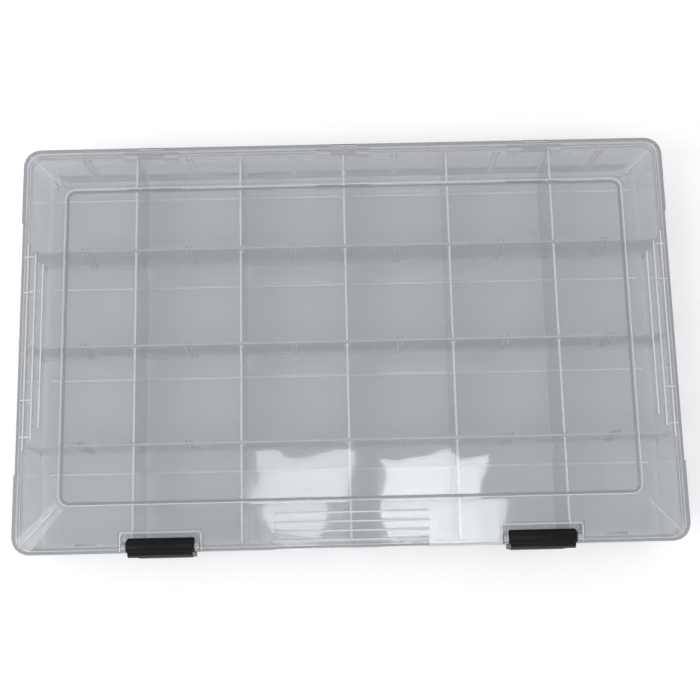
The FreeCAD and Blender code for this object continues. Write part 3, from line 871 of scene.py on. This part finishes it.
@dataclass
class Lid:
    """The lid, with beads along its panel, finger ridges, mitred corners and latch recesses: the pale
    beads are painted highlights, and the dark bead along the panel's step is painted shade.
    """

    half_width: float = 180.0
    half_depth: float = 112.5
    skirt_top: float = 45.5
    border_width: float = 24.0
    border_rise: float = 4.5
    shade_line_half: tuple[float, float] = (153.6, 86.1)
    shade_line_corner: float = 4.1
    panel_half: tuple[float, float] = (154.85, 87.35)
    panel_corner: float = 5.35
    panel_face: float = 48.4
    panel_rim: float = 49.72
    ridge_inset: float = 4.5
    ridge_height: float = 0.3
    front_ridges: int = 4
    front_pitch: float = 4.8
    front_half: float = 40.6
    side_ridges: int = 3
    side_pitch: float = 4.4
    side_half: float = 57.6
    side_step: float = 6.0
    tick_places: tuple[float, ...] = (-50.0, -30.0, 30.0, 50.0)
    tick_insets: tuple[float, float] = (2.5, 8.0)
    mitre_insets: tuple[float, float] = (4.0, 22.5)
    recess_x: float = 101.0
    recess_half: float = 21.5
    recess_back: float = 10.6
    recess_front: float = 0.8
    recess_corner: float = 2.0
    recess_steps: int = 7
    shade_line_bead: Bead = Bead(width=1.3, rise=0.25, sink=0.15)
    panel_bead: Bead = Bead(width=0.6, rise=0.25, sink=0.15)
    ridge_bead: Bead = Bead(width=0.9, rise=0.25, sink=0.35)
    tick_bead: Bead = Bead(width=0.7, rise=0.2, sink=0.5)
    mitre_bead: Bead = Bead(width=0.8, rise=0.15, sink=0.3)
    recess_bead: Bead = Bead(width=0.9, rise=0.3, sink=0.3)

    def height(self, inset: float | Grid) -> float | Grid:
        """Returns the sloping border's height at a distance in from the lid's edge."""
        return self.skirt_top + self.border_rise * inset / self.border_width

    def corner_point(self, inset: float, side_x: float, side_y: float) -> Triple:
        """Returns the point of a corner's mitre at a distance in from both edges."""
        x = (self.half_width - inset) * side_x
        y = (self.half_depth - inset) * side_y
        return x, y, self.height(inset)

    def build(self) -> None:
        """Dresses the lid and lays its beads: painted shade along the panel's step, and painted highlight
        lines.
        """
        dress("lid", CLEAR_LID)
        shade_line = rounded_loop(*self.shade_line_half, self.shade_line_corner, self.panel_face)
        rim = rounded_loop(*self.panel_half, self.panel_corner, self.panel_rim)
        # The dark bead is painted shade along the panel's step; the pale beads are painted highlight
        # lines.
        beads = {
            "panel_step_shade_line": (PANEL_STEP_SHADE, [self.shade_line_bead.along(*shade_line, UP, closed=True)]),
            "panel_bead": (LID_CROWN_HIGHLIGHT, [self.panel_bead.along(*rim, UP, closed=True)]),
            "front_ridge_crowns": (LID_CROWN_HIGHLIGHT, self.front_crowns()),
            "side_ridge_crowns": (LID_CROWN_HIGHLIGHT, self.side_crowns()),
            "corner_mitres": (LID_RIM_HIGHLIGHT, self.mitres()),
            "recess_rims": (LID_RIM_HIGHLIGHT, [self.recess_rim(self.recess_x * side) for side in SIDES]),
        }
        for name, (finish, parts) in beads.items():
            Surface.joined(parts).piece(name, finish, Body.LID, Slot.LID)

    def front_crowns(self) -> list[Surface]:
        """Returns a pale crown for each finger ridge between the latches, a painted highlight line."""
        crowns = []
        for number in range(self.front_ridges):
            inset = self.ridge_inset + self.front_pitch * number
            y = inset - self.half_depth
            z = self.height(inset) + self.ridge_height
            crowns.append(self.ridge_bead.straight((-self.front_half, y, z), (self.front_half, y, z)))
        return crowns

    def side_crowns(self) -> list[Surface]:
        """Returns a crown for each finger ridge at the sides, and the short ticks that cross them: pale
        painted highlight lines.
        """
        crowns = []
        for side in SIDES:
            for number in range(self.side_ridges):
                inset = self.ridge_inset + self.side_pitch * number
                x = (self.half_width - inset) * side
                z = self.height(inset) + self.ridge_height
                reach = self.side_half - self.side_step * number
                crowns.append(self.ridge_bead.straight((x, -reach, z), (x, reach, z)))
            ends = [((self.half_width - inset) * side, self.height(inset)) for inset in self.tick_insets]
            crowns += [
                self.tick_bead.straight(*((x, y, z) for x, z in ends)) for y in self.tick_places
            ]
        return crowns

    def mitres(self) -> list[Surface]:
        """Returns a fine pale bead down each mitred corner of the border, a painted highlight line."""
        beads = []
        for side_x in SIDES:
            for side_y in SIDES:
                ends = [self.corner_point(inset, side_x, side_y) for inset in self.mitre_insets]
                beads.append(self.mitre_bead.straight(*ends))
        return beads

    def recess_rim(self, centre: float) -> Surface:
        """Makes the pale bead round a latch recess, a painted highlight line: up one side, round two
        corners and down the other.

        Args:
            centre: The recess's place along the front.

        Returns:
            The bead's surface.
        """
        left = np.linspace(np.pi, np.pi / 2, self.recess_steps)
        angle = np.concatenate([[np.pi], left, np.pi - left[::-1], [0.0]])
        outward = np.stack([np.cos(angle), np.sin(angle), np.zeros_like(angle)], axis=-1)
        side = np.sign(np.arange(len(angle)) - (len(angle) - 1) / 2)
        shift = side * (self.recess_half - self.recess_corner)
        middle = np.full(len(angle), self.recess_back - self.recess_corner)
        middle[[0, -1]] = self.recess_front
        x = centre + shift + outward[:, 0] * self.recess_corner
        inset = middle + outward[:, 1] * self.recess_corner
        path = np.stack([x, inset - self.half_depth, self.height(inset)], axis=-1)
        tilt = np.array([0.0, -self.border_rise, self.border_width])
        return self.recess_bead.along(path, outward, tilt / np.linalg.norm(tilt))


@dataclass
class Latches:
    """The two black latches, and the steel pins that they swing on."""

    ease: EdgeEase = EdgeEase(0.4)

    def build(self) -> None:
        """Dresses the latches, then their pins."""
        for side in ("left", "right"):
            dress(f"latch_{side}", BLACK_LATCH, self.ease)
        dress("latch_pin", STEEL_PIN)


@dataclass
class Hinges:
    """The three hinge pins behind the box."""

    def build(self) -> None:
        """Dresses the pins."""
        dress("hinge_pin", STEEL_PIN)


@dataclass
class Camera:
    """The photograph's viewpoint, in metres, fitted to the lid's corners, dividers and row walls."""

    place: Triple = (-0.0015, -0.1111, 0.6186)
    forward: Triple = (0.0050, 0.1802, -0.9836)
    right: Triple = (0.99974, -0.0226, 0.00096)
    focal_px: float = 1066.9
    sensor: float = 36.0

    def build(self) -> None:
        """Makes the camera and sets it as the scene's own."""
        data = bpy.data.cameras.new("camera")
        data.sensor_width = self.sensor
        data.lens = self.sensor * self.focal_px / IMAGE_SIDE_PX
        camera = bpy.data.objects.new("camera", data)
        bpy.context.scene.collection.objects.link(camera)
        back = -Vector(self.forward).normalized()
        up = back.cross(Vector(self.right)).normalized()
        right = up.cross(back)
        turn = Matrix((right, up, back)).transposed().to_4x4()
        camera.matrix_world = Matrix.Translation(self.place) @ turn
        bpy.context.scene.camera = camera


@dataclass(frozen=True)
class Softbox:
    """One rectangular studio lamp aimed at the box. Its place and size are in metres."""

    name: str
    place: Triple
    size: tuple[float, float]
    watts: float

    def build(self) -> None:
        """Makes the lamp, turned to face the middle of the box."""
        data = bpy.data.lights.new(self.name, "AREA")
        data.shape = "RECTANGLE"
        data.size, data.size_y = self.size
        data.energy = self.watts
        lamp = bpy.data.objects.new(self.name, data)
        back = Vector(self.place).normalized()
        up = back.cross(Vector((1.0, 0.0, 0.0))).normalized()
        turn = Matrix((up.cross(back), up, back)).transposed().to_4x4()
        lamp.matrix_world = Matrix.Translation(self.place) @ turn
        bpy.context.scene.collection.objects.link(lamp)


@dataclass
class Studio:
    """A white floor, a surround that is bright above and dimmer at the horizon, and soft lamps.

    Sizes and places are in metres. The lid's panel mirrors the windows, and its front border the panes.
    """

    floor_side: float = 40.0
    floor_drop: float = 0.0002
    floor_colour: Colour = (0.93, 0.93, 0.93)
    floor_lift: float = 0.17
    horizon: float = 0.2
    zenith: float = 0.95
    backdrop: float = 0.93
    bounces: int = 24
    clear_bounces: int = 48
    lamps: tuple[Softbox, ...] = (
        Softbox("key", (-1.3, -0.6, 1.5), (1.2, 0.8), 14.0),
        Softbox("window_left", (-0.09, -0.03, 1.55), (0.17, 0.2), 0.45),
        Softbox("window_right", (0.16, -0.04, 1.55), (0.2, 0.2), 0.7),
        Softbox("pane_left", (-0.10, -0.60, 1.4), (0.09, 0.16), 0.19),
        Softbox("pane_right", (0.17, -0.60, 1.4), (0.225, 0.16), 0.63),
    )

    def build(self) -> None:
        """Makes the world, the floor and the lamps."""
        scene = bpy.context.scene
        scene.view_settings.view_transform = "Standard"
        scene.cycles.max_bounces = self.bounces
        scene.cycles.transmission_bounces = self.bounces
        scene.cycles.transparent_max_bounces = self.clear_bounces
        self.surround(scene)
        self.floor()
        for lamp in self.lamps:
            lamp.build()

    def seen(self, graph: NodeGraph) -> bpy.types.NodeSocket:
        """Adds a mask that is 1 on the rays that carry the background to the eye.

        Args:
            graph: The graph that needs it.

        Returns:
            The mask: the larger of the camera, glossy and transmission flags.
        """
        path = graph.add("ShaderNodeLightPath").outputs
        direct = graph.math("MAXIMUM", path["Is Camera Ray"], path["Is Glossy Ray"])
        return graph.math("MAXIMUM", direct, path["Is Transmission Ray"])

    def surround(self, scene: bpy.types.Scene) -> None:
        """Makes the world: pale to the eye, and as light rising from the horizon to the zenith.

        Args:
            scene: The scene that gets the world.
        """
        world = bpy.data.worlds.new("surround")
        scene.world = world
        world.use_nodes = True
        world.node_tree.nodes.clear()
        graph = NodeGraph(world.node_tree)
        direction = graph.add("ShaderNodeTexCoord").outputs["Generated"]
        height = graph.add("ShaderNodeSeparateXYZ", Vector=direction).outputs["Z"]
        strength = graph.add("ShaderNodeMapRange", Value=height, To_Min=self.horizon, To_Max=self.zenith)
        seen = self.seen(graph)
        lighting = graph.math("MULTIPLY", graph.math("SUBTRACT", 1.0, seen), strength.outputs[0])
        shown = graph.math("MULTIPLY", seen, self.backdrop)
        light = graph.add("ShaderNodeBackground", Strength=graph.math("ADD", lighting, shown))
        graph.feed(light.inputs["Color"], (1.0, 1.0, 1.0, 1.0))
        graph.feed(graph.add("ShaderNodeOutputWorld").inputs["Surface"], light.outputs[0])

    def floor(self) -> None:
        """Makes the paper floor just under the box, lifted to white for the eye."""
        half = self.floor_side / 2
        corners = [(-half, -half), (half, -half), (half, half), (-half, half)]
        mesh = bpy.data.meshes.new("floor")
        mesh.from_pydata([(x, y, -self.floor_drop) for x, y in corners], [], [(0, 1, 2, 3)])
        sheet = bpy.data.objects.new("floor", mesh)
        bpy.context.scene.collection.objects.link(sheet)
        material = bpy.data.materials.new("floor_paper")
        material.use_nodes = True
        material.node_tree.nodes.clear()
        graph = NodeGraph(material.node_tree)
        paper = graph.add("ShaderNodeBsdfDiffuse", Color=(*self.floor_colour, 1.0))
        strength = graph.math("MULTIPLY", self.seen(graph), self.floor_lift)
        lift = graph.add("ShaderNodeEmission", Strength=strength)
        both = graph.add("ShaderNodeAddShader")
        graph.feed(both.inputs[0], paper.outputs[0])
        graph.feed(both.inputs[1], lift.outputs[0])
        graph.feed(graph.add("ShaderNodeOutputMaterial").inputs["Surface"], both.outputs[0])
        mesh.materials.append(material)


def main() -> None:
    """Builds the studio, then dresses the box from the inside out."""
    logging.basicConfig(level=logging.INFO, format="%(name)s: %(message)s")
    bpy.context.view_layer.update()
    for part in (Camera(), Studio(), Tray(), Dividers(), Lid(), Latches(), Hinges()):
        part.build()


if __name__ == "__main__":
    main()
